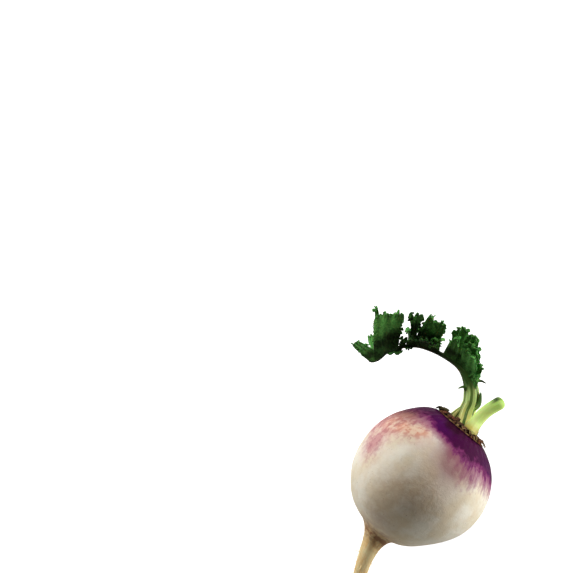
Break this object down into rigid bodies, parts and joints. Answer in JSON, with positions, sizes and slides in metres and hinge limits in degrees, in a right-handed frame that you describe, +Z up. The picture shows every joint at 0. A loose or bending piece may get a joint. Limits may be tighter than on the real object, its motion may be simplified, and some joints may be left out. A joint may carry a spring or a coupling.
{
  "type": "turnip",
  "caption": "Purple-top turnip with its tap root, corky crown, a frilled leaf and a cut leaf stalk, lying on its side.",
  "frame": {"origin": "centre of the small flat spot that the round root rests on", "axes": "+Z up from the resting surface, +X level along the root's axis towards the crown, +Y towards the leaf's side"},
  "size_m": [0.1694, 0.1181, 0.1003],
  "materials": {
    "turnip_skin": "smooth skin with a soft sheen, cream with a purple top",
    "crown_cork": "dry and corky",
    "leaf_green": "matte, with pale ribs on the stalk",
    "cut_stalk_green": "smooth and slightly moist",
    "dried_shoot_brown": "dry and crumpled"
  },
  "bodies": {
    "root": {"turnip_root": "turnip_skin", "crown": "crown_cork", "leaf": "leaf_green", "cut_stalk": "cut_stalk_green", "dried_shoot": "dried_shoot_brown"}
  },
  "joints": []
}
